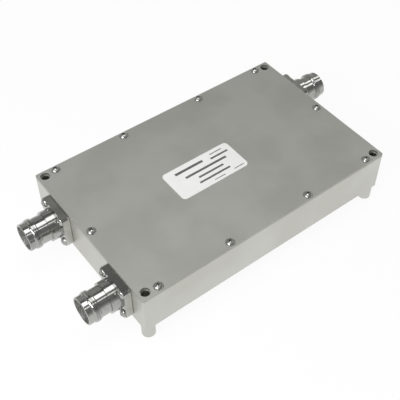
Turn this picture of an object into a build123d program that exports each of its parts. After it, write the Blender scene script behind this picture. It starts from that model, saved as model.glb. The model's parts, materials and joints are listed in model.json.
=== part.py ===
from build123d import *

import os
from math import sqrt

# Radio frequency diplexer: a milled, silver plated housing with two rows of resonator posts under an
# inner tuning cover and a flat lid. One jack on the +X end serves both bands, two on the -X end
# serve one band each. The origin is the centre of the base, between the feet. Lengths in millimetres.

# Outside of the housing and its four feet
body_length = 193.4
body_width = 121.5
corner_radius = 1.2
base_chamfer = 0.5
foot_height = 10.65
foot_radius = 4.35
foot_chamfer = 0.5
foot_setback_x = 0.5
foot_setback_y = 0.3
mount_bore_radius = 2.75
mount_lid_radius = 3.1

# Milled inside of the housing
end_wall = 11.0
side_wall = 11.0
floor_thickness = 4.0
chamber_depth = 18.4
chamber_corner_radius = 3.0
cover_ledge = 4.5
recess_corner_radius = 6.0
partition_thickness = 5.0
septum_thickness = 4.0
low_septum_length = 17.5
high_septum_length = 7.0

# Lid and its label
lid_thickness = 2.1
label_length = 52.7
label_width = 25.6
label_thickness = 0.15
label_corner_radius = 2.9
label_x = -7.0
label_y = -1.2

# Inner tuning cover
cover_thickness = 2.5
cover_clearance = 0.2
cover_lid_gap = 0.9
cover_screw_inset = 5.0
partition_screw_x = 27.0

# Screws: a head, its rounded top edge, and how far the shank grips below the clamped piece
thread_clearance = 0.03
hole_clearance = 0.2
screw_end_clearance = 0.5
head_radius = 3.0
head_height = 2.0
head_dome = 0.8
shank_radius = 1.5
lid_screw_grip = 5.7
lid_screw_inset = 3.4
lid_screw_end_inset = 4.2
lid_screw_mount_gap = 8.2
lid_screw_inner_x = 31.4
flange_screw_grip = 4.9
cover_head_radius = 2.0
cover_head_height = 1.5
cover_head_dome = 0.5
cover_shank_radius = 1.0
cover_screw_grip = 3.5

# Resonator posts and their tuning screws
post_gap = 3.0
stud_radius = 2.0
stud_length = 2.5
low_post_radius = 6.5
low_post_count = 5
low_row_step = 28.0
low_line_gap = 4.8
high_post_radius = 5.0
high_post_count = 6
high_line_gap = 1.8
post_bore_radius = 3.0
post_bore_depth = 7.0
tap_hole_depth = 2.0
tuner_radius = 2.0
tuner_depth = 2.0
tuner_past_nut = 1.2
nut_across_flats = 7.0
nut_height = 1.8

# Ports, as insets from the housing's long sides
low_port_inset = 29.3
high_port_inset = 24.55
spigot_roof = 0.35

# Jack, with lengths measured outwards from the housing's end face
flange_size = 25.4
flange_thickness = 5.0
flange_screw_inset = 3.05
flange_corner_chamfer = 1.5
barrel_head_gap = 0.4
barrel_length = 6.4
neck_radius = 9.05
neck_length = 6.7
ring_radius = 10.0
ring_length = 4.7
ring_chamfer = 0.6
nose_radius = 9.2
nose_length = 3.7
nose_chamfer = 0.3
mouth_radius = 8.1
mouth_depth = 8.0
coax_radius = 5.0
spigot_wall = 1.0
spigot_clearance = 0.05
insulator_clearance = 0.02
insulator_front = 8.0
contact_radius = 2.15
contact_recess = 2.0
contact_bore_radius = 1.2
contact_bore_depth = 6.0
contact_slot_width = 0.4
contact_slot_depth = 5.0
pin_radius = 1.25
pin_reach = 5.0

# Conductors between the jacks and the posts
conductor_clearance = 0.03
sleeve_radius = 2.0
sleeve_wall_gap = 0.5
sleeve_nose = 2.0
rod_radius = 1.2
crossing_gap = 0.3
bead_radius = 4.0

# Heights above the base
tuner_stand = nut_height + tuner_past_nut
chamber_floor = foot_height + floor_thickness
cover_seat = chamber_floor + chamber_depth
cover_top = cover_seat + cover_thickness
lid_seat = cover_top + tuner_stand + cover_lid_gap
lid_top = lid_seat + lid_thickness
post_top = cover_seat - post_gap
spigot_radius = coax_radius + spigot_wall
port_z = cover_seat - spigot_roof - spigot_radius

# Plan of the housing and its chambers
half_length = body_length / 2
half_width = body_width / 2
low_port_y = half_width - low_port_inset
high_port_y = high_port_inset - half_width
chamber_end = half_length - end_wall
chamber_side = half_width - side_wall
recess_end = chamber_end + cover_ledge
recess_side = chamber_side + cover_ledge
high_wall_y = 2 * high_port_y + chamber_side
low_wall_y = high_wall_y + partition_thickness
partition_y = high_wall_y + partition_thickness / 2
mount_x = half_length - foot_radius - foot_setback_x
mount_y = half_width - foot_radius - foot_setback_y

# Distances along a jack, and across its flange
barrel_front = flange_thickness + barrel_length
neck_front = barrel_front + neck_length
ring_front = neck_front + ring_length
nose_front = ring_front + nose_length
mouth_floor = nose_front - mouth_depth
contact_front = mouth_floor - contact_recess
flange_screw_offset = flange_size / 2 - flange_screw_inset
barrel_radius = sqrt(2) * flange_screw_offset - head_radius - barrel_head_gap

# Where a jack's pin ends in the chamber, where the common line crosses to the other band, and the
# end posts that it has to pass
pin_end_x = chamber_end - pin_reach
line_x = pin_end_x - sleeve_nose - crossing_gap - rod_radius
low_end_x = line_x - rod_radius - low_line_gap - low_post_radius
high_end_x = line_x - rod_radius - high_line_gap - high_post_radius


def post_row(end_x, count, y, step):
    """Places of one band's posts, evenly between -X and +X, with every other inner post stepped aside."""
    row = []
    for index in range(count):
        stepped = index % 2 == 1 and index < count - 1
        x = -end_x + 2 * end_x * index / (count - 1)
        row.append((x, y - step if stepped else y))
    return row


low_posts = post_row(low_end_x, low_post_count, low_port_y, low_row_step)
high_posts = post_row(high_end_x, high_post_count, high_port_y, 0)
posts = low_posts + high_posts

# Places of the corner holes and of the screws
signs = (-1, 1)
mount_places = [(side_x * mount_x, side_y * mount_y) for side_x in signs for side_y in signs]
lid_screw_places = [(side_x * (half_length - lid_screw_end_inset), 0) for side_x in signs]
cover_screw_places = [(side_x * partition_screw_x, partition_y) for side_x in signs]
for side_x in signs:
    for side_y in signs:
        for screw_x in (mount_x - lid_screw_mount_gap, lid_screw_inner_x):
            lid_screw_places.append((side_x * screw_x, side_y * (half_width - lid_screw_inset)))
        cover_corner_x = chamber_end - cover_screw_inset
        cover_screw_places.append((side_x * cover_corner_x, side_y * (chamber_side + cover_ledge / 2)))

# Each port: its name, its end of the housing, and its place across it
ports = [
    ("low_band", -1, low_port_y),
    ("high_band", -1, high_port_y),
    ("common", 1, low_port_y),
]


def block(x_span, y_span, z_span):
    """A box given by its limits along each axis."""
    sizes = [span[1] - span[0] for span in (x_span, y_span, z_span)]
    centre = [(span[0] + span[1]) / 2 for span in (x_span, y_span, z_span)]
    return Pos(*centre) * Box(*sizes)


def upright(x, y, z_span, radius):
    """A vertical cylinder between two heights."""
    low, high = z_span
    return Pos(x, y, (low + high) / 2) * Cylinder(radius, high - low)


def rounded_slab(x_half, y_half, z_span, radius):
    """A centred slab with rounded vertical edges."""
    slab = block((-x_half, x_half), (-y_half, y_half), z_span)
    return fillet(slab.edges().filter_by(Axis.Z), radius)


def turned(points):
    """A body of revolution about Z from its half section, as (radius, height) points."""
    outline = Polyline(*[(radius, 0, height) for radius, height in points], close=True)
    return revolve(make_face(outline), Axis.Z)


def group(parts):
    """Separate solids kept together as one group."""
    return Compound([solid for part in parts for solid in part.solids()])


def at_each(part, places, height):
    """Separate copies of one part at each place."""
    return group([Pos(x, y, height) * part for x, y in places])


def pan_screw(head, height, dome, shank, length):
    """A pan head screw with its head on Z = 0 and its shank below."""
    profile = [
        (0, -length),
        (shank, -length),
        (shank, 0),
        (head, 0),
        (head, height - dome),
        (head - dome, height),
        (0, height),
    ]
    return turned(profile)


def port_frame(side, y):
    """Puts a part drawn along +Z onto a port, pointing out of the housing."""
    return Pos(side * half_length, y, port_z) * Rot(0, side * 90, 0)


def inwards(side, y):
    """Puts a part drawn along +Z onto the end of a port's pin, pointing into the chamber."""
    return Pos(side * pin_end_x, y, port_z) * Rot(0, -side * 90, 0)


def on_flange(part):
    """Four copies of a part, one at each screw of a flange."""
    pitch = 2 * flange_screw_offset
    return GridLocations(pitch, pitch, 2, 2) * part


def make_septa():
    """Short walls between neighbouring posts, with an open window between their ends."""
    rows = [
        (low_posts, low_wall_y, chamber_side, low_septum_length),
        (high_posts, -chamber_side, high_wall_y, high_septum_length),
    ]
    walls = []
    for row, near_y, far_y, length in rows:
        for (first_x, _), (next_x, _) in zip(row, row[1:]):
            middle = (first_x + next_x) / 2
            x_span = (middle - septum_thickness / 2, middle + septum_thickness / 2)
            for y_span in ((near_y, near_y + length), (far_y - length, far_y)):
                walls.append(block(x_span, y_span, (chamber_floor, cover_seat)))
    return walls


def housing_holes():
    """Corner bores, threaded holes, spigot bores, and the common line's hole through the partition."""
    over = 1.0
    holes = [upright(x, y, (-over, lid_seat + over), mount_bore_radius) for x, y in mount_places]
    threads = [
        (lid_screw_places, lid_seat, shank_radius, lid_screw_grip + screw_end_clearance),
        (cover_screw_places, cover_seat, cover_shank_radius, cover_screw_grip + screw_end_clearance),
        (posts, chamber_floor, stud_radius, stud_length + thread_clearance),
    ]
    for places, top, radius, depth in threads:
        for x, y in places:
            holes.append(upright(x, y, (top - depth, top + over), radius + thread_clearance))
    spigot_bore = Cylinder(spigot_radius + spigot_clearance, 2 * end_wall)
    flange_hole_depth = flange_screw_grip + screw_end_clearance
    flange_thread = Cylinder(shank_radius + thread_clearance, 2 * flange_hole_depth)
    for _, side, y in ports:
        holes += [port_frame(side, y) * hole for hole in [spigot_bore, *on_flange(flange_thread)]]
    crossing = Cylinder(bead_radius, partition_thickness + 2 * over)
    holes.append(Pos(line_x, partition_y, port_z) * Rot(90, 0, 0) * crossing)
    return holes


def make_housing():
    """The milled block with its feet, chambers and the recess for the tuning cover."""
    body = rounded_slab(half_length, half_width, (foot_height, lid_seat), corner_radius)
    body = chamfer(body.faces().sort_by(Axis.Z)[0].edges(), base_chamfer)
    for x, y in mount_places:
        foot = upright(x, y, (0, chamber_floor), foot_radius)
        body += chamfer(foot.edges().sort_by(Axis.Z)[0], foot_chamfer)
    for y_span in ((low_wall_y, chamber_side), (-chamber_side, high_wall_y)):
        chamber = block((-chamber_end, chamber_end), y_span, (chamber_floor, lid_seat))
        body -= fillet(chamber.edges().filter_by(Axis.Z), chamber_corner_radius)
    for wall in make_septa():
        body += wall
    body -= rounded_slab(recess_end, recess_side, (cover_seat, lid_seat), recess_corner_radius)
    return body - housing_holes()


def make_lid():
    """The flat lid, flush with the housing, with screw holes and wider holes at the corners."""
    lid = rounded_slab(half_length, half_width, (lid_seat, lid_top), corner_radius)
    holes = [upright(x, y, (lid_seat, lid_top), mount_lid_radius) for x, y in mount_places]
    holes += [upright(x, y, (lid_seat, lid_top), shank_radius + hole_clearance) for x, y in lid_screw_places]
    return lid - holes


def make_label():
    """The label on the lid, a thin rounded rectangle."""
    label = rounded_slab(label_length / 2, label_width / 2, (0, label_thickness), label_corner_radius)
    return Pos(label_x, label_y, lid_top) * label


def make_tuning_cover():
    """The inner cover over both chambers, threaded for the tuning screws."""
    height = (cover_seat, cover_top)
    corner = recess_corner_radius - cover_clearance
    cover = rounded_slab(recess_end - cover_clearance, recess_side - cover_clearance, height, corner)
    holes = [upright(x, y, height, tuner_radius + thread_clearance) for x, y in posts]
    holes += [upright(x, y, height, cover_shank_radius + hole_clearance) for x, y in cover_screw_places]
    return cover - holes


def make_tuning_screws():
    """A tuning screw over every post, turned down into the post's bore."""
    screw = upright(0, 0, (post_top - tuner_depth, cover_top + tuner_stand), tuner_radius)
    return at_each(screw, posts, 0)


def make_tuning_nuts():
    """The hexagonal lock nut of every tuning screw, on top of the tuning cover."""
    outline = RegularPolygon(nut_across_flats / 2, 6, major_radius=False)
    hole = upright(0, 0, (0, nut_height), tuner_radius + thread_clearance)
    return at_each(extrude(outline, nut_height) - hole, posts, cover_top)


def make_post(x, y, radius, tap_side):
    """One resonator post on its threaded stud. An end post has a cross hole for its rod on one side."""
    profile = [
        (0, chamber_floor - stud_length),
        (stud_radius, chamber_floor - stud_length),
        (stud_radius, chamber_floor),
        (radius, chamber_floor),
        (radius, post_top),
        (post_bore_radius, post_top),
        (post_bore_radius, post_top - post_bore_depth),
        (0, post_top - post_bore_depth),
    ]
    post = Pos(x, y, 0) * Rot(0, 0, 90) * turned(profile)
    if tap_side:
        hole = Cylinder(rod_radius + conductor_clearance, 2 * tap_hole_depth)
        post -= Pos(x + tap_side * radius, y, port_z) * Rot(0, 90, 0) * hole
    return post


def make_posts(band, places, radius):
    """The posts of one band by name. The first and the last are tapped on their outer sides."""
    tap_sides = {0: -1, len(places) - 1: 1}
    row = {}
    for index, (x, y) in enumerate(places):
        row[f"{band}_post_{index + 1}"] = make_post(x, y, radius, tap_sides.get(index, 0))
    return row


def make_shell():
    """A jack's turned shell with its square flange, drawn along +Z from the housing's end face."""
    flange = Pos(0, 0, flange_thickness / 2) * Box(flange_size, flange_size, flange_thickness)
    flange = chamfer(flange.edges().filter_by(Axis.Z), flange_corner_chamfer)
    flange -= Cylinder(spigot_radius, 3 * flange_thickness)
    profile = [
        (coax_radius, -end_wall),
        (spigot_radius, -end_wall),
        (spigot_radius, flange_thickness),
        (barrel_radius, flange_thickness),
        (barrel_radius, barrel_front),
        (neck_radius, barrel_front),
        (neck_radius, neck_front),
        (ring_radius - ring_chamfer, neck_front),
        (ring_radius, neck_front + ring_chamfer),
        (ring_radius, ring_front - ring_chamfer),
        (ring_radius - ring_chamfer, ring_front),
        (nose_radius, ring_front),
        (nose_radius, nose_front - nose_chamfer),
        (nose_radius - nose_chamfer, nose_front),
        (mouth_radius, nose_front),
        (mouth_radius, mouth_floor),
        (coax_radius, mouth_floor),
    ]
    screw_hole = Cylinder(shank_radius + hole_clearance, 3 * flange_thickness)
    return flange + turned(profile) - on_flange(screw_hole)


def make_insulator():
    """The insulating sleeve between a jack's shell and its contact."""
    outer = coax_radius - insulator_clearance
    inner = pin_radius + insulator_clearance
    profile = [
        (inner, -end_wall),
        (outer, -end_wall),
        (outer, insulator_front),
        (inner, insulator_front),
    ]
    return turned(profile)


def make_contact():
    """The centre contact: a slotted socket in front, and a solid pin that reaches into the chamber."""
    profile = [
        (0, -end_wall - pin_reach),
        (pin_radius, -end_wall - pin_reach),
        (pin_radius, insulator_front),
        (contact_radius, insulator_front),
        (contact_radius, contact_front),
        (contact_bore_radius, contact_front),
        (contact_bore_radius, contact_front - contact_bore_depth),
        (0, contact_front - contact_bore_depth),
    ]
    slot = Pos(0, 0, contact_front) * Box(3 * contact_radius, contact_slot_width, 2 * contact_slot_depth)
    return turned(profile) - [slot, Rot(0, 0, 90) * slot]


def make_flange_screws():
    """Four screws for each flange, all of one kind."""
    length = flange_thickness + flange_screw_grip
    screw = pan_screw(head_radius, head_height, head_dome, shank_radius, length)
    screws = []
    for _, side, y in ports:
        seat = port_frame(side, y) * Pos(0, 0, flange_thickness)
        screws += [seat * copy for copy in on_flange(screw)]
    return group(screws)


def tap_rod(length):
    """A rod of a given reach along +Z from a pin's end, with a sleeve that slips over the pin."""
    bore = pin_radius + conductor_clearance
    overlap = pin_reach - sleeve_wall_gap
    profile = [
        (bore, -overlap),
        (sleeve_radius, -overlap),
        (sleeve_radius, sleeve_nose),
        (rod_radius, sleeve_nose),
        (rod_radius, length),
        (0, length),
        (0, conductor_clearance),
        (bore, conductor_clearance),
    ]
    return turned(profile)


def rod_reach(end_x, post_radius):
    """How far a rod runs from a pin's end to the bottom of an end post's cross hole."""
    return pin_end_x - end_x - post_radius + tap_hole_depth - conductor_clearance


def make_common_line():
    """The rod from the common jack to the lower band, with a branch that crosses to the upper band."""
    line = inwards(1, low_port_y) * tap_rod(rod_reach(low_end_x, low_post_radius))
    crossing = Cylinder(rod_radius, low_port_y - high_port_y)
    line += Pos(line_x, (low_port_y + high_port_y) / 2, port_z) * Rot(90, 0, 0) * crossing
    start_x = line_x + rod_radius
    end_x = pin_end_x - rod_reach(high_end_x, high_post_radius)
    branch = Cylinder(rod_radius, start_x - end_x)
    return line + Pos((start_x + end_x) / 2, high_port_y, port_z) * Rot(0, 90, 0) * branch


def make_line_bead():
    """The insulating bead that carries the common line through the partition."""
    bead = Cylinder(bead_radius - insulator_clearance, partition_thickness)
    bead -= Cylinder(rod_radius + conductor_clearance, 2 * partition_thickness)
    return Pos(line_x, partition_y, port_z) * Rot(90, 0, 0) * bead


def make_nodes():
    """Every piece of the diplexer by its name."""
    lid_length = lid_thickness + lid_screw_grip
    lid_screw = pan_screw(head_radius, head_height, head_dome, shank_radius, lid_length)
    cover_length = cover_thickness + cover_screw_grip
    cover_screw = pan_screw(
        cover_head_radius, cover_head_height, cover_head_dome, cover_shank_radius, cover_length
    )
    nodes = {
        "housing": make_housing(),
        "lid": make_lid(),
        "lid_screws": at_each(lid_screw, lid_screw_places, lid_top),
        "label": make_label(),
        "tuning_cover": make_tuning_cover(),
        "tuning_cover_screws": at_each(cover_screw, cover_screw_places, cover_top),
        "tuning_screws": make_tuning_screws(),
        "tuning_nuts": make_tuning_nuts(),
        "flange_screws": make_flange_screws(),
        "low_band_tap": inwards(-1, low_port_y) * tap_rod(rod_reach(low_end_x, low_post_radius)),
        "high_band_tap": inwards(-1, high_port_y) * tap_rod(rod_reach(high_end_x, high_post_radius)),
        "common_line": make_common_line(),
        "common_line_bead": make_line_bead(),
    }
    nodes.update(make_posts("low_band", low_posts, low_post_radius))
    nodes.update(make_posts("high_band", high_posts, high_post_radius))
    for name, side, y in ports:
        frame = port_frame(side, y)
        nodes[f"{name}_jack_shell"] = frame * make_shell()
        nodes[f"{name}_jack_insulator"] = frame * make_insulator()
        nodes[f"{name}_jack_contact"] = frame * make_contact()
    return nodes


os.makedirs("parts", exist_ok=True)
for node_name, node in make_nodes().items():
    export_step(node, f"parts/{node_name}.step")
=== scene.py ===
import json
import math
import random

import bpy
from mathutils import Matrix, Vector


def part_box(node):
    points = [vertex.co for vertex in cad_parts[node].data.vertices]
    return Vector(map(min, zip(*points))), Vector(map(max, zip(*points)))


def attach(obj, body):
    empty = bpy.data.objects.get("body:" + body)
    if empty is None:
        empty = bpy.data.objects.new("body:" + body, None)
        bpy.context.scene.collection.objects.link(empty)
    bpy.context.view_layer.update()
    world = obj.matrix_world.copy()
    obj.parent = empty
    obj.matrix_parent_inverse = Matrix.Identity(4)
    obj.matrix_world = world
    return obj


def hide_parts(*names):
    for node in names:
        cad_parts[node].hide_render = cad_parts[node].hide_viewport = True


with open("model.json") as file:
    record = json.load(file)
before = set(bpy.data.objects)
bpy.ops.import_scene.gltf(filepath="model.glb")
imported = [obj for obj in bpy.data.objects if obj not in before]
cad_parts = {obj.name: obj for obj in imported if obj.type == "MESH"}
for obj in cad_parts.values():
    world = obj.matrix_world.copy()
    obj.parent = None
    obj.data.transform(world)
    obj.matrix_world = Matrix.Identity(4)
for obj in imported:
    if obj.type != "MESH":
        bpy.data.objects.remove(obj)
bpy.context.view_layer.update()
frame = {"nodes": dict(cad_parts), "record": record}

body = "root"
mm = 0.001
random.seed(7)


# Housing. One block of aluminium, milled out from above and left with a round foot under each
# corner. A deburring tool has broken its edges, and thin silver plating covers it inside and out.
housing_edge = 0.13 * mm
housing_silver = (0.60, 0.60, 0.565)
housing_tarnish = (0.56, 0.555, 0.515)
weld_distance = 0.002 * mm
flat_angle = math.radians(0.5)
sharp_angle = math.radians(30)
smooth_angle = math.radians(50)
noise_middle = 0.5
patch_range = (0.38, 0.64)
grain_per_metre = 2600.0
grain_depth = 0.012 * mm
# Each run of scratches has a turn in radians, and how fine it is along and across, per metre.
scratch_runs = ((0.5, 14.0, 900.0), (-1.1, 18.0, 1100.0))
scratch_range = (0.70, 0.76)
scratched_places_per_metre = 22.0
scratched_range = (0.52, 0.66)


def select_only(piece):
    """Makes one object the only selected and active one."""
    bpy.ops.object.select_all(action="DESELECT")
    piece.select_set(True)
    bpy.context.view_layer.objects.active = piece


def copy_of(node, name):
    """A copy of a CAD node, welded into one mesh with clean flat faces."""
    source = frame["nodes"][node]
    piece = bpy.data.objects.new(name, source.data.copy())
    bpy.context.scene.collection.objects.link(piece)
    piece.data.materials.clear()
    select_only(piece)
    bpy.ops.object.mode_set(mode="EDIT")
    bpy.ops.mesh.select_all(action="SELECT")
    bpy.ops.mesh.remove_doubles(threshold=weld_distance)
    bpy.ops.mesh.dissolve_limited(angle_limit=flat_angle)
    bpy.ops.object.mode_set(mode="OBJECT")
    return piece


def shade(piece):
    """Shades a piece smoothly over its rounded edges, and keeps its flat faces flat."""
    select_only(piece)
    bpy.ops.object.shade_smooth_by_angle(angle=smooth_angle)
    even = piece.modifiers.new("even normals", "WEIGHTED_NORMAL")
    even.keep_sharp = True
    bpy.ops.object.modifier_apply(modifier=even.name)


def break_edges(piece, width):
    """Rounds every sharp edge of a piece."""
    select_only(piece)
    edges = piece.modifiers.new("broken edges", "BEVEL")
    edges.width = width
    edges.segments = 2
    edges.limit_method = "ANGLE"
    edges.angle_limit = sharp_angle
    edges.miter_outer = "MITER_ARC"
    bpy.ops.object.modifier_apply(modifier=edges.name)
    shade(piece)
    return piece


def fix(piece, finish, slot, *nodes):
    """Fixes a finished piece to the body, in place of any CAD nodes that it stands for."""
    if not piece.data.materials:
        piece.data.materials.append(finish)
    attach(piece, body)
    if nodes:
        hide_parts(*nodes)


def dress(node, finish):
    """Gives its finish to a CAD node that stays as it is."""
    for place in frame["nodes"][node].material_slots:
        place.material = finish


def new_effect(name, inputs, outputs):
    """A node group for one effect, with its named inputs and outputs and nothing between them yet."""
    effect = bpy.data.node_groups.new(name, "ShaderNodeTree")
    kinds = {"vector": "NodeSocketVector", "colour": "NodeSocketColor", "value": "NodeSocketFloat"}
    for label, kind in inputs.items():
        effect.interface.new_socket(label, in_out="INPUT", socket_type=kinds[kind])
    for label, kind in outputs.items():
        effect.interface.new_socket(label, in_out="OUTPUT", socket_type=kinds[kind])
    return effect, effect.nodes.new("NodeGroupInput"), effect.nodes.new("NodeGroupOutput")


def add_math(tree, operation, first, second=0.5, clamp=False):
    """A math node on two inputs, each a socket or a number, and its result."""
    node = tree.nodes.new("ShaderNodeMath")
    node.operation = operation
    node.use_clamp = clamp
    for socket, value in zip(node.inputs, (first, second)):
        if isinstance(value, bpy.types.NodeSocket):
            tree.links.new(value, socket)
        else:
            socket.default_value = value
    return node.outputs[0]


def add_noise(tree, position, scale, detail=2.0, stretch=None, turn=0.0):
    """Noise over a position, finer with its scale, and drawn out along one turned direction."""
    place = tree.nodes.new("ShaderNodeMapping")
    tree.links.new(position, place.inputs["Vector"])
    place.inputs["Rotation"].default_value = (0, 0, turn)
    place.inputs["Scale"].default_value = stretch or (1, 1, 1)
    noise = tree.nodes.new("ShaderNodeTexNoise")
    tree.links.new(place.outputs["Vector"], noise.inputs["Vector"])
    if isinstance(scale, bpy.types.NodeSocket):
        tree.links.new(scale, noise.inputs["Scale"])
    else:
        noise.inputs["Scale"].default_value = scale
    noise.inputs["Detail"].default_value = detail
    return noise.outputs["Fac"]


def add_range(tree, value, low, high, to_low=0.0, to_high=1.0):
    """A value taken from one range to another, smoothly and no further than its ends."""
    ramp = tree.nodes.new("ShaderNodeMapRange")
    ramp.interpolation_type = "SMOOTHSTEP"
    tree.links.new(value, ramp.inputs["Value"])
    for label, limit in (("From Min", low), ("From Max", high), ("To Min", to_low), ("To Max", to_high)):
        ramp.inputs[label].default_value = limit
    return ramp.outputs["Result"]


def add_mix(tree, share, first, second):
    """Two colours mixed by a share. Each input is a socket, or a plain value."""
    mix = tree.nodes.new("ShaderNodeMix")
    mix.data_type = "RGBA"
    colours = [socket for socket in mix.inputs if socket.type == "RGBA"]
    for socket, value in zip([mix.inputs[0]] + colours, (share, first, second)):
        if isinstance(value, bpy.types.NodeSocket):
            tree.links.new(value, socket)
        elif isinstance(value, tuple):
            socket.default_value = (*value, 1)
        else:
            socket.default_value = value
    return [socket for socket in mix.outputs if socket.type == "RGBA"][0]


def make_plating():
    """Silver plating: cloudy patches of tarnish, uneven gloss and the fine grain of the bath."""
    inputs = {
        "Position": "vector",
        "Silver": "colour",
        "Tarnish": "colour",
        "Patches per metre": "value",
        "Roughness": "value",
        "Unevenness": "value",
    }
    outputs = {"Colour": "colour", "Roughness": "value", "Grain": "value"}
    effect, given, result = new_effect("silver plating", inputs, outputs)
    position = given.outputs["Position"]
    cloud = add_noise(effect, position, given.outputs["Patches per metre"], detail=3.0)
    patches = add_range(effect, cloud, *patch_range)
    colour = add_mix(effect, patches, given.outputs["Silver"], given.outputs["Tarnish"])
    effect.links.new(colour, result.inputs["Colour"])
    swing = add_math(effect, "SUBTRACT", cloud, noise_middle)
    swing = add_math(effect, "MULTIPLY", swing, given.outputs["Unevenness"])
    effect.links.new(add_math(effect, "ADD", given.outputs["Roughness"], swing), result.inputs["Roughness"])
    effect.links.new(add_noise(effect, position, grain_per_metre), result.inputs["Grain"])
    return effect


def make_scratches():
    """Handling marks: a few thin scratches in two directions, as a share from 0 to 1."""
    inputs = {"Position": "vector", "Amount": "value"}
    effect, given, result = new_effect("handling scratches", inputs, {"Scratches": "value"})
    position = given.outputs["Position"]
    lines = []
    for turn, along, across in scratch_runs:
        streak = add_noise(effect, position, 1.0, detail=1.0, stretch=(along, across, across), turn=turn)
        where = add_noise(effect, position, scratched_places_per_metre, detail=1.0, turn=turn)
        thin = add_range(effect, streak, *scratch_range)
        lines.append(add_math(effect, "MULTIPLY", thin, add_range(effect, where, *scratched_range)))
    both = add_math(effect, "MAXIMUM", lines[0], lines[1])
    shown = add_math(effect, "MULTIPLY", both, given.outputs["Amount"], clamp=True)
    effect.links.new(shown, result.inputs["Scratches"])
    return effect


silver_plating = make_plating()
handling_scratches = make_scratches()


def new_finish(name, metallic):
    """A material with one Principled surface, its node tree, and the position on the piece."""
    finish = bpy.data.materials.new(name)
    finish.use_nodes = True
    tree = finish.node_tree
    surface = tree.nodes["Principled BSDF"]
    surface.inputs["Metallic"].default_value = metallic
    position = tree.nodes.new("ShaderNodeTexCoord").outputs["Object"]
    return finish, tree, surface, position


def add_effect(tree, effect, position, values):
    """An effect placed in a material, fed with the position and its own values."""
    node = tree.nodes.new("ShaderNodeGroup")
    node.node_tree = effect
    tree.links.new(position, node.inputs["Position"])
    for label, value in values.items():
        node.inputs[label].default_value = (*value, 1) if isinstance(value, tuple) else value
    return node


def add_bump(tree, surface, height, depth):
    """Lets a height shape the surface, to a depth in metres."""
    bump = tree.nodes.new("ShaderNodeBump")
    bump.inputs["Strength"].default_value = 1.0
    bump.inputs["Distance"].default_value = depth
    tree.links.new(height, bump.inputs["Height"])
    tree.links.new(bump.outputs["Normal"], surface.inputs["Normal"])


def make_plated_finish(name, silver, tarnish, roughness, unevenness=0.12, patches=22.0, scratches=0.0):
    """A silver plated metal, with as many scratches as its handling has left."""
    finish, tree, surface, position = new_finish(name, metallic=1.0)
    values = {
        "Silver": silver,
        "Tarnish": tarnish,
        "Patches per metre": patches,
        "Roughness": roughness,
        "Unevenness": unevenness,
    }
    plating = add_effect(tree, silver_plating, position, values)
    marks = add_effect(tree, handling_scratches, position, {"Amount": scratches})
    colour = add_mix(tree, marks.outputs["Scratches"], plating.outputs["Colour"], tarnish)
    tree.links.new(colour, surface.inputs["Base Color"])
    tree.links.new(plating.outputs["Roughness"], surface.inputs["Roughness"])
    height = add_math(tree, "SUBTRACT", plating.outputs["Grain"], marks.outputs["Scratches"])
    add_bump(tree, surface, height, grain_depth)
    return finish


housing_finish = make_plated_finish(
    "housing silver", housing_silver, housing_tarnish, roughness=0.42, scratches=0.25
)
housing = break_edges(copy_of("housing", "housing_body"), housing_edge)
fix(housing, housing_finish, "plated_housing", "housing")


# Resonator posts. Turned brass, silver plated, each screwed into the chamber floor by its stud:
# wide ones for the lower band and slim ones for the upper band.
post_silver = (0.80, 0.79, 0.74)
post_tarnish = (0.72, 0.70, 0.63)
post_finish = make_plated_finish("post silver", post_silver, post_tarnish, roughness=0.28, patches=60.0)
for node in sorted(frame["nodes"]):
    if "_post_" in node:
        dress(node, post_finish)


# Jack insulators. White fluoropolymer sleeves, turned from rod and pressed into the shells, each
# round the contact that it holds.
sleeve_edge = 0.05 * mm
sleeve_white = (0.86, 0.86, 0.83)
sleeve_shade = (0.80, 0.80, 0.76)
sleeve_roughness = (0.33, 0.46)
sleeve_clouds_per_metre = 320.0
sleeve_grain_per_metre = 2200.0
soft_grain_depth = 0.01 * mm
cloud_range = (0.35, 0.65)
gloss_range = (0.3, 0.7)
# The side of the housing that each jack is on, as the sign of its X.
ports = {"low_band": -1, "high_band": -1, "common": 1}


def add_soft_gloss(tree, surface, position, cloud, roughness, grain_per_metre):
    """The surface of plastic or film: gloss that drifts between two values, and a fine grain."""
    tree.links.new(add_range(tree, cloud, *gloss_range, *roughness), surface.inputs["Roughness"])
    add_bump(tree, surface, add_noise(tree, position, grain_per_metre), soft_grain_depth)


def make_polymer_finish():
    """A smooth white polymer with a slightly waxy, uneven surface."""
    finish, tree, surface, position = new_finish("fluoropolymer", metallic=0.0)
    cloud = add_noise(tree, position, sleeve_clouds_per_metre, detail=3.0)
    colour = add_mix(tree, add_range(tree, cloud, *cloud_range), sleeve_white, sleeve_shade)
    tree.links.new(colour, surface.inputs["Base Color"])
    add_soft_gloss(tree, surface, position, cloud, sleeve_roughness, sleeve_grain_per_metre)
    return finish


polymer_finish = make_polymer_finish()
for port in ports:
    node = f"{port}_jack_insulator"
    sleeve = break_edges(copy_of(node, f"{port}_jack_sleeve"), sleeve_edge)
    fix(sleeve, polymer_finish, "insulator_plastic", node)


# Jack contacts. Turned brass pins, silver plated, each with a socket sawn into four springs that
# grip the pin of the plug.
pin_edge = 0.06 * mm
pin_silver = (0.86, 0.85, 0.80)
pin_tarnish = (0.78, 0.76, 0.70)
contact_finish = make_plated_finish("contact silver", pin_silver, pin_tarnish, roughness=0.2, patches=90.0)
for port in ports:
    node = f"{port}_jack_contact"
    pin = break_edges(copy_of(node, f"{port}_jack_pin"), pin_edge)
    fix(pin, contact_finish, "plated_conductor", node)


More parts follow.
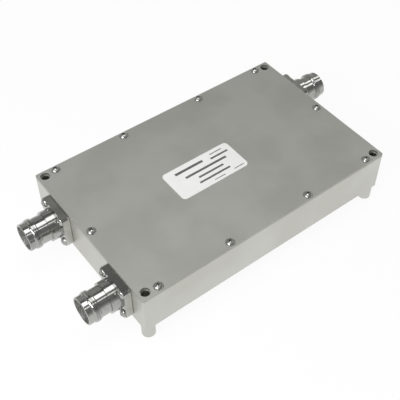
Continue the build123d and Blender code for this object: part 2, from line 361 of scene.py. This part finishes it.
# Jack shells. Turned brass with a square flange, bright white bronze plating and the fine rings
# that the lathe leaves. The ring near the mouth carries the thread for the plug's nut.
thread_pitch = 1.0 * mm
thread_depth = 0.32 * mm
thread_crest = 0.3 * mm
thread_base = 0.86 * mm
thread_steps = 72
thread_overlap = 0.06 * mm
shell_edge = 0.18 * mm
shell_seam = 0.26 * mm
radius_margin = 0.06 * mm
# A point is on the threaded ring if it lies within this share of the thread's length from its middle.
# The step at the ring's foot reaches further, lies in a range of radii given as shares of the crest's,
# and is drawn in a little.
ring_reach = 0.55
foot_reach = 0.7
foot_range = (0.93, 0.95)
foot_share = 0.985
turned_white = (0.42, 0.42, 0.405)
turned_shade = (0.35, 0.35, 0.335)
# The bore is rougher than the outside, and its colours are set much lighter than the turned ones: painted
# light that brightens the inside of the mouth.
bore_painted_light_white = (0.7, 0.7, 0.68)
bore_painted_light_shade = (0.55, 0.55, 0.53)
# The two flange faces that look along Y are milled and rougher than the turned faces, and their colours are
# set lighter: painted light. The top and bottom of the flange keep the darker turned colours.
flange_side_painted_light_white = (0.62, 0.62, 0.59)
flange_side_painted_light_shade = (0.56, 0.56, 0.53)
# Marks of the lathe, by how fine they are along each axis, per metre, and how deep.
fine_rings = (9000.0, 0.001, 0.001)
coarse_rings = (1500.0, 0.001, 0.001)
ring_depth = 0.004 * mm
mounts = {given["name"]: given for given in frame["record"]["mounts"]}


def make_turned_marks():
    """Lathe marks: fine uneven rings round the X axis, as a height from 0 to 1."""
    effect, given, result = new_effect("turned marks", {"Position": "vector"}, {"Rings": "value"})
    fine = add_noise(effect, given.outputs["Position"], 1.0, stretch=fine_rings)
    coarse = add_noise(effect, given.outputs["Position"], 1.0, stretch=coarse_rings)
    effect.links.new(add_math(effect, "ADD", fine, coarse), result.inputs["Rings"])
    return effect


turned_marks = make_turned_marks()


def make_shell_finish(name, white, shade, roughness):
    """White bronze over brass, rougher where the tool below it left the metal rougher. The lighter colours
    of the bore and the flange sides are painted light.
    """
    finish, tree, surface, position = new_finish(name, metallic=1.0)
    values = {
        "Silver": white,
        "Tarnish": shade,
        "Patches per metre": 120.0,
        "Roughness": roughness,
        "Unevenness": 0.1,
    }
    plating = add_effect(tree, silver_plating, position, values)
    rings = add_effect(tree, turned_marks, position, {})
    tree.links.new(plating.outputs["Colour"], surface.inputs["Base Color"])
    tree.links.new(plating.outputs["Roughness"], surface.inputs["Roughness"])
    add_bump(tree, surface, rings.outputs["Rings"], ring_depth)
    return finish


def choose(piece, kind, test):
    """Opens a piece in edit mode with only the vertices or edges selected whose places pass a test."""
    select_only(piece)
    bpy.ops.object.mode_set(mode="EDIT")
    bpy.ops.mesh.select_mode(type=kind)
    bpy.ops.mesh.select_all(action="DESELECT")
    bpy.ops.object.mode_set(mode="OBJECT")
    points = piece.data.vertices
    if kind == "VERT":
        for point in points:
            point.select = test(point.co)
    else:
        for edge in piece.data.edges:
            edge.select = all(test(points[index].co) for index in edge.vertices)
    bpy.ops.object.mode_set(mode="EDIT")


def scale_about_axis(piece, chosen, centre, share):
    """Scales chosen vertices towards or away from a line along X."""
    choose(piece, "VERT", chosen)
    bpy.ops.transform.resize(value=(1, share, share), center_override=centre)
    bpy.ops.object.mode_set(mode="OBJECT")


def off_axis(point, centre):
    """Distance of a point from a line along X."""
    return math.hypot(point.y - centre.y, point.z - centre.z)


def make_thread(name, centre, crest, length):
    """A raised helical thread round a line along X, with its two ends run out."""
    root = crest - thread_depth - thread_overlap
    turns = int(length / thread_pitch)
    bpy.ops.mesh.primitive_plane_add(size=1, rotation=(math.pi / 2, 0, 0))
    ridge = bpy.context.object
    ridge.name = name
    bpy.ops.object.transform_apply(location=False, rotation=True, scale=False)
    half = turns * thread_pitch / 2
    for vertex in ridge.data.vertices:
        side = math.copysign(1, vertex.co.x)
        outer = vertex.co.z > 0
        vertex.co.z = crest if outer else root
        vertex.co.x = side * (thread_crest if outer else thread_base) / 2 - half
        vertex.co.y = 0
    bpy.ops.object.mode_set(mode="EDIT")
    bpy.ops.mesh.select_all(action="SELECT")
    bpy.ops.mesh.delete(type="ONLY_FACE")
    bpy.ops.object.mode_set(mode="OBJECT")
    helix = ridge.modifiers.new("helix", "SCREW")
    helix.axis = "X"
    helix.angle = 2 * math.pi
    helix.screw_offset = thread_pitch
    helix.iterations = turns
    helix.steps = helix.render_steps = thread_steps
    bpy.ops.object.modifier_apply(modifier=helix.name)
    for vertex in ridge.data.vertices:
        radius = math.hypot(vertex.co.y, vertex.co.z)
        room = (half + thread_pitch / 2 - abs(vertex.co.x)) / thread_pitch
        rise = min(1, max(0, room))
        share = (root + (radius - root) * rise) / radius
        vertex.co.y *= share
        vertex.co.z *= share
    bpy.ops.object.mode_set(mode="EDIT")
    bpy.ops.mesh.select_all(action="DESELECT")
    bpy.ops.mesh.select_non_manifold()
    bpy.ops.mesh.edge_face_add()
    bpy.ops.mesh.select_all(action="SELECT")
    bpy.ops.mesh.normals_make_consistent(inside=False)
    bpy.ops.object.mode_set(mode="OBJECT")
    ridge.data.transform(Matrix.Translation(centre))
    bpy.ops.object.shade_smooth_by_angle(angle=sharp_angle)
    return ridge


def finish_faces(piece, finish, test):
    """Gives a second finish to the faces that pass a test."""
    piece.data.materials.append(finish)
    last = len(piece.data.materials) - 1
    for face in piece.data.polygons:
        if test(face):
            face.material_index = last


def bevel_edges(piece, chosen, width, segments=1):
    """Bevels the edges whose ends are both chosen."""
    choose(piece, "EDGE", chosen)
    bpy.ops.mesh.bevel(offset=width, segments=segments, profile=0.5, affect="EDGES")
    bpy.ops.object.mode_set(mode="OBJECT")


shell_finish = make_shell_finish("turned white bronze", turned_white, turned_shade, roughness=0.15)
bore_painted_light_finish = make_shell_finish("bore white bronze with painted light", bore_painted_light_white, bore_painted_light_shade, roughness=0.4)
flange_side_painted_light_finish = make_shell_finish("flange side white bronze with painted light", flange_side_painted_light_white, flange_side_painted_light_shade, roughness=0.5)
for port, side in ports.items():
    node = f"{port}_jack_shell"
    thread, socket = mounts[f"{port}_thread"], mounts[f"{port}_socket"]
    centre = Vector(thread["pos_m"])
    crest = thread["dims"]["r_mm"] * mm
    length = thread["dims"]["length_mm"] * mm
    bore = socket["dims"]["r_mm"] * mm + radius_margin
    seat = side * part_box("housing")[1].x
    low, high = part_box(node)
    flange_half = (high.z - low.z) / 2
    shell = copy_of(node, f"{port}_jack_body")
    scale_about_axis(
        shell,
        lambda point: off_axis(point, centre) > crest - radius_margin
        and abs(point.x - centre.x) < ring_reach * length,
        centre,
        (crest - thread_depth) / crest,
    )
    scale_about_axis(
        shell,
        lambda point: foot_range[0] * crest < off_axis(point, centre) < foot_range[1] * crest
        and abs(point.x - centre.x) < foot_reach * length,
        centre,
        foot_share,
    )
    bevel_edges(
        shell,
        lambda point: abs(point.x - seat) < weld_distance and point.z > high.z - weld_distance,
        2 * shell_seam,
    )
    bevel_edges(
        shell,
        lambda point: abs(point.x - seat) < weld_distance
        and max(abs(point.y - centre.y), centre.z - point.z) > flange_half - weld_distance,
        shell_seam,
    )
    fix(break_edges(shell, shell_edge), shell_finish, "plated_jack", node)
    points = shell.data.vertices
    # Faces inside the bore take the lighter finish: painted light inside the mouth.
    finish_faces(
        shell,
        bore_painted_light_finish,
        lambda face: all(off_axis(points[index].co, centre) < bore for index in face.vertices),
    )
    # The flange faces that look along Y take the lighter finish: painted light.
    finish_faces(
        shell,
        flange_side_painted_light_finish,
        lambda face: abs(abs(face.center.y - centre.y) - flange_half) < weld_distance,
    )
    fix(make_thread(f"{port}_jack_thread", centre, crest, length), shell_finish, "plated_jack")


# Taps and common line. Silver plated brass rods, sleeved over the jack pins. The common line goes
# through the partition in a white bead.
rod_silver = (0.82, 0.81, 0.76)
rod_tarnish = (0.74, 0.72, 0.66)
rod_finish = make_plated_finish("rod silver", rod_silver, rod_tarnish, roughness=0.25, patches=80.0)
for node in ("low_band_tap", "high_band_tap", "common_line"):
    dress(node, rod_finish)
dress("common_line_bead", polymer_finish)


# Tuning cover with its screws. A plated plate that closes the chambers, with a brass tuning screw
# and a lock nut over every post.
cover_silver = (0.76, 0.755, 0.71)
cover_tarnish = (0.68, 0.67, 0.61)
brass_bright = (0.72, 0.55, 0.27)
brass_dull = (0.60, 0.43, 0.19)
steel_bright = (0.46, 0.46, 0.445)
steel_shade = (0.38, 0.38, 0.365)
cover_finish = make_plated_finish(
    "cover silver", cover_silver, cover_tarnish, roughness=0.35, patches=26.0
)
brass_finish = make_plated_finish("bare brass", brass_bright, brass_dull, roughness=0.3, patches=120.0)
steel_finish = make_plated_finish(
    "nickel plated steel", steel_bright, steel_shade, roughness=0.24, patches=400.0
)
dress("tuning_cover", cover_finish)
dress("tuning_cover_screws", steel_finish)
dress("tuning_screws", brass_finish)
dress("tuning_nuts", brass_finish)


# Lid. A flat plate cut to the outline of the housing and plated with it, so its edges line up and
# only a thin seam shows. Its top is a shade duller than the sides.
lid_silver = (0.52, 0.52, 0.494)
lid_tarnish = (0.475, 0.475, 0.445)
lid_finish = make_plated_finish(
    "lid silver", lid_silver, lid_tarnish, roughness=0.66, unevenness=0.1, patches=24.0, scratches=0.4
)
lid = break_edges(copy_of("lid", "lid_plate"), housing_edge)
fix(lid, lid_finish, "plated_lid", "lid")


# Screws of the lid and of the flanges. Nickel plated pan heads with a cross recess, each turned as
# far as it went when it was driven home.
head_height = 2.0 * mm
head_crown = 3.4 * mm
head_shoulder = 0.2 * mm
head_segments = 48
shoulder_segments = 3
shank_radius = 1.5 * mm
shank_segments = 24
shank_overlap = 0.2 * mm
# The recess is cut by two crossed bars. Reach and width are half sizes at the top of the head, and
# the taper is the share of both that is left at the bottom.
recess_depth = 1.7 * mm
recess_reach = 2.0 * mm
recess_width = 0.5 * mm
recess_taper = 0.5
recess_wall = 0.1 * mm
# The faces inside the cross recess get darker colours than the head, with more roughness: painted shade
# where the recess lies in shadow.
recess_painted_shade_light = (0.42, 0.42, 0.40)
recess_painted_shade_dark = (0.34, 0.34, 0.32)
recess_painted_shade_finish = make_plated_finish(
    "recess painted shade", recess_painted_shade_light, recess_painted_shade_dark, roughness=0.45, patches=400.0
)


def make_recess_cutters():
    """Two crossed and tapered bars that cut the recess of a head."""
    bars = []
    for turn in (0, math.pi / 2):
        bpy.ops.mesh.primitive_cube_add(size=1, location=(0, 0, head_height))
        bar = bpy.context.object
        bar.scale = (2 * recess_reach, 2 * recess_width, 2 * recess_depth)
        bar.rotation_euler.z = turn
        bpy.ops.object.transform_apply(location=True, rotation=True, scale=True)
        for vertex in bar.data.vertices:
            if vertex.co.z < head_height:
                vertex.co.x *= recess_taper
                vertex.co.y *= recess_taper
        bars.append(bar)
    return bars


def add_cylinder(segments, radius, low, high):
    """An upright cylinder round the Z axis, between two heights."""
    bpy.ops.mesh.primitive_cylinder_add(
        vertices=segments, radius=radius, depth=high - low, location=(0, 0, (low + high) / 2)
    )
    bpy.ops.object.transform_apply(location=True, rotation=False, scale=False)
    return bpy.context.object


def combine(piece, tool, operation):
    """Cuts, adds or intersects a piece with a tool, and removes the tool."""
    step = piece.modifiers.new("combine", "BOOLEAN")
    step.operation = operation
    step.object = tool
    step.solver = "EXACT"
    select_only(piece)
    bpy.ops.object.modifier_apply(modifier=step.name)
    bpy.data.objects.remove(tool)


def make_screw(radius, length):
    """One pan head screw, with its seat on the plane Z = 0 and its shank below."""
    screw = add_cylinder(head_segments, radius, 0, head_height)
    crown_centre = Vector((0, 0, head_height - head_crown))
    bpy.ops.mesh.primitive_uv_sphere_add(
        segments=head_segments, ring_count=head_segments, radius=head_crown, location=crown_centre
    )
    crown = bpy.context.object
    bpy.ops.object.transform_apply(location=True, rotation=False, scale=False)
    combine(screw, crown, "INTERSECT")
    rim = radius - weld_distance
    bevel_edges(
        screw,
        lambda point: point.z > weld_distance and math.hypot(point.x, point.y) > rim,
        head_shoulder,
        shoulder_segments,
    )
    for bar in make_recess_cutters():
        combine(screw, bar, "DIFFERENCE")
    screw.data.materials.append(steel_finish)
    # Faces inside the recess take the darker finish: painted shade.
    finish_faces(
        screw,
        recess_painted_shade_finish,
        lambda face: face.center.z > weld_distance
        and (face.center - crown_centre).length < head_crown - recess_wall
        and math.hypot(face.center.x, face.center.y) < recess_reach + weld_distance,
    )
    combine(screw, add_cylinder(shank_segments, shank_radius, -length, shank_overlap), "UNION")
    return screw


def solid_boxes(node):
    """The lowest and highest corner of each separate solid of a CAD node."""
    piece = copy_of(node, "parts")
    bpy.ops.object.mode_set(mode="EDIT")
    bpy.ops.mesh.select_all(action="SELECT")
    bpy.ops.mesh.separate(type="LOOSE")
    bpy.ops.object.mode_set(mode="OBJECT")
    boxes = []
    for part in list(bpy.context.selected_objects):
        corners = [vertex.co for vertex in part.data.vertices]
        low = Vector([min(corner[axis] for corner in corners) for axis in range(3)])
        high = Vector([max(corner[axis] for corner in corners) for axis in range(3)])
        boxes.append((low, high))
        bpy.data.objects.remove(part)
    return sorted(boxes, key=lambda box: tuple(round(value, 5) for value in (*box[0], *box[1])))


def place_screws(name, node, side_of):
    """Screws on every solid of a CAD node, facing along X or up as side_of says, joined into one piece."""
    copies = []
    boxes = solid_boxes(node)
    width, long = sorted(boxes[0][1] - boxes[0][0])[1:]
    model = make_screw(width / 2, long - head_height)
    for low, high in boxes:
        middle = (low + high) / 2
        side = side_of(middle)
        if side:
            seat = Vector((high.x - head_height if side > 0 else low.x + head_height, middle.y, middle.z))
            stand = Matrix.Rotation(side * math.pi / 2, 4, "Y")
        else:
            seat = Vector((middle.x, middle.y, high.z - head_height))
            stand = Matrix.Identity(4)
        screw = bpy.data.objects.new(name, model.data.copy())
        bpy.context.scene.collection.objects.link(screw)
        spin = Matrix.Rotation(random.uniform(0, math.pi / 2), 4, "Z")
        screw.data.transform(Matrix.Translation(seat) @ stand @ spin)
        copies.append(screw)
    bpy.data.objects.remove(model)
    bpy.ops.object.select_all(action="DESELECT")
    for screw in copies:
        screw.select_set(True)
    bpy.context.view_layer.objects.active = copies[0]
    bpy.ops.object.join()
    piece = bpy.context.object
    piece.name = name
    bpy.ops.object.shade_smooth_by_angle(angle=sharp_angle)
    fix(piece, steel_finish, "screw_steel", node)


place_screws("flange_pan_screws", "flange_screws", lambda middle: math.copysign(1, middle.x))
place_screws("lid_pan_screws", "lid_screws", lambda middle: 0)


# Label. A white polyester film with rounded corners, stuck to the lid. Plain dark bars stand where
# such a label has its lines of print.
film_edge = 0.03 * mm
film_white = (0.91, 0.91, 0.90)
film_shade = (0.88, 0.88, 0.87)
film_roughness = (0.38, 0.48)
film_clouds_per_metre = 60.0
film_grain_per_metre = 700.0
ink = (0.13, 0.13, 0.13)
label_low, label_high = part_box("label")
label_centre = (label_low + label_high) / 2
# Each bar has its place from the label's centre, then half its length and height, in millimetres.
print_bars = [
    (-7.5, 7.9, 11.0, 1.0),
    (15.4, 9.6, 4.9, 0.35),
    (15.8, 6.1, 7.0, 0.75),
    (2.0, 1.9, 16.4, 0.9),
    (2.7, -2.7, 9.9, 0.75),
    (2.7, -6.9, 12.2, 0.75),
    (4.0, -10.5, 4.2, 0.3),
    (19.9, -10.2, 3.9, 0.3),
]


def make_bar_effect():
    """One plain printed bar, as a share from 0 to 1 of ink."""
    inputs = {
        "Position": "vector",
        "Centre X": "value",
        "Centre Y": "value",
        "Half length": "value",
        "Half height": "value",
    }
    effect, given, result = new_effect("printed bar", inputs, {"Ink": "value"})
    split = effect.nodes.new("ShaderNodeSeparateXYZ")
    effect.links.new(given.outputs["Position"], split.inputs["Vector"])
    inside = []
    for axis, half in (("X", "Half length"), ("Y", "Half height")):
        away = add_math(effect, "SUBTRACT", split.outputs[axis], given.outputs[f"Centre {axis}"])
        away = add_math(effect, "ABSOLUTE", away)
        inside.append(add_math(effect, "LESS_THAN", away, given.outputs[half]))
    effect.links.new(add_math(effect, "MULTIPLY", inside[0], inside[1]), result.inputs["Ink"])
    return effect


def make_label_finish():
    """White film with its printed bars."""
    finish, tree, surface, position = new_finish("label film", metallic=0.0)
    printed_bar = make_bar_effect()
    printed = None
    for x, y, half_length, half_height in print_bars:
        values = {
            "Centre X": label_centre.x + x * mm,
            "Centre Y": label_centre.y + y * mm,
            "Half length": half_length * mm,
            "Half height": half_height * mm,
        }
        bar = add_effect(tree, printed_bar, position, values).outputs["Ink"]
        printed = bar if printed is None else add_math(tree, "MAXIMUM", printed, bar)
    cloud = add_noise(tree, position, film_clouds_per_metre)
    white = add_mix(tree, add_range(tree, cloud, *cloud_range), film_white, film_shade)
    tree.links.new(add_mix(tree, printed, white, ink), surface.inputs["Base Color"])
    add_soft_gloss(tree, surface, position, cloud, film_roughness, film_grain_per_metre)
    return finish


label = break_edges(copy_of("label", "label_film"), film_edge)
fix(label, make_label_finish(), "label_film", "label")


# Studio. A white floor in a dim room, soft boxes overhead, at the left and at the right, and the
# camera that took the picture.
floor_size = 12
floor_white = (0.95, 0.95, 0.95, 1)
floor_roughness = 0.9
# The share of plain white in the floor where the camera or a reflection sees it. The rest of it
# takes the light and shadows of the room.
floor_glow = 0.92
bpy.ops.mesh.primitive_plane_add(size=floor_size, location=(0, 0, 0))
floor = bpy.context.object
floor.name = "floor"
floor_finish = bpy.data.materials.new("floor")
floor_finish.use_nodes = True
tree = floor_finish.node_tree
surface = tree.nodes["Principled BSDF"]
surface.inputs["Base Color"].default_value = floor_white
surface.inputs["Roughness"].default_value = floor_roughness
glow = tree.nodes.new("ShaderNodeEmission")
blend = tree.nodes.new("ShaderNodeMixShader")
path = tree.nodes.new("ShaderNodeLightPath")
seen = add_math(tree, "MAXIMUM", path.outputs["Is Camera Ray"], path.outputs["Is Glossy Ray"])
seen = add_math(tree, "MAXIMUM", seen, path.outputs["Is Transmission Ray"])
tree.links.new(add_math(tree, "MULTIPLY", seen, floor_glow), blend.inputs["Fac"])
tree.links.new(surface.outputs["BSDF"], blend.inputs[1])
tree.links.new(glow.outputs["Emission"], blend.inputs[2])
tree.links.new(blend.outputs["Shader"], tree.nodes["Material Output"].inputs["Surface"])
floor.data.materials.append(floor_finish)


def hang_lamp(name, low, high, height, brightness):
    """A rectangular soft box that faces down, between two corners in plan and at one height."""
    data = bpy.data.lights.new(name, "AREA")
    data.shape = "RECTANGLE"
    data.size, data.size_y = high[0] - low[0], high[1] - low[1]
    data.energy = brightness * math.pi * data.size * data.size_y
    lamp = bpy.data.objects.new(name, data)
    bpy.context.scene.collection.objects.link(lamp)
    lamp.location = ((low[0] + high[0]) / 2, (low[1] + high[1]) / 2, height)


hang_lamp("wide soft box", (-0.48, -0.19), (0.3, 0.28), 1.0, 2.8)
hang_lamp("left soft box", (-0.78, -0.5), (-0.5, 0.05), 0.5, 10.8)
hang_lamp("narrow soft box", (-0.45, -0.64), (0.28, -0.48), 1.0, 1.8)
hang_lamp("first side strip", (0.7, 0.1), (0.98, 0.36), 1.0, 2.6)
hang_lamp("second side strip", (0.7, -0.47), (0.98, -0.2), 1.0, 2.6)

# The room is light along its walls and dark overhead. In front of the object the tone changes low
# down, and behind it high up. These two ranges are the Z of a direction, and the last is its Y.
front_range = (0.1, 0.36)
front_wall = (0.6, 0.6, 0.59)
front_ceiling = (0.26, 0.26, 0.255)
back_range = (0.69, 0.83)
back_wall = (0.44, 0.44, 0.43)
back_ceiling = (0.16, 0.16, 0.155)
front_to_back = (0.05, 0.4)
world = bpy.data.worlds.new("room")
bpy.context.scene.world = world
world.use_nodes = True
tree = world.node_tree
direction = tree.nodes.new("ShaderNodeSeparateXYZ")
tree.links.new(tree.nodes.new("ShaderNodeTexCoord").outputs["Generated"], direction.inputs["Vector"])
front = add_mix(tree, add_range(tree, direction.outputs["Z"], *front_range), front_wall, front_ceiling)
back = add_mix(tree, add_range(tree, direction.outputs["Z"], *back_range), back_wall, back_ceiling)
behind = add_range(tree, direction.outputs["Y"], *front_to_back)
tree.links.new(add_mix(tree, behind, front, back), tree.nodes["Background"].inputs["Color"])

view_turn = math.radians(40.35)
view_down = math.radians(47.99)
view_roll = math.radians(2.36)
picture_width = 400
focal_pixels = 768.6
aim = Vector((-7.25 * mm, -25.53 * mm, 41.58 * mm))
distance = 485.4 * mm
lens_shift_x = -0.0715
lens_shift_y = -0.0185
nearest_seen = 10.0 * mm
camera_data = bpy.data.cameras.new("camera")
camera = bpy.data.objects.new("camera", camera_data)
bpy.context.scene.collection.objects.link(camera)
bpy.context.scene.camera = camera
turn = Matrix.Rotation(-view_turn, 4, "Z")
tilt = Matrix.Rotation(math.pi / 2 - view_down, 4, "X")
roll = Matrix.Rotation(view_roll, 4, "Z")
look = turn @ tilt @ roll
camera.matrix_world = Matrix.Translation(aim + look @ Vector((0, 0, distance))) @ look
camera_data.lens = focal_pixels / picture_width * camera_data.sensor_width
camera_data.shift_x = lens_shift_x
camera_data.shift_y = lens_shift_y
camera_data.clip_start = nearest_seen

bpy.context.scene.view_settings.view_transform = "Standard"
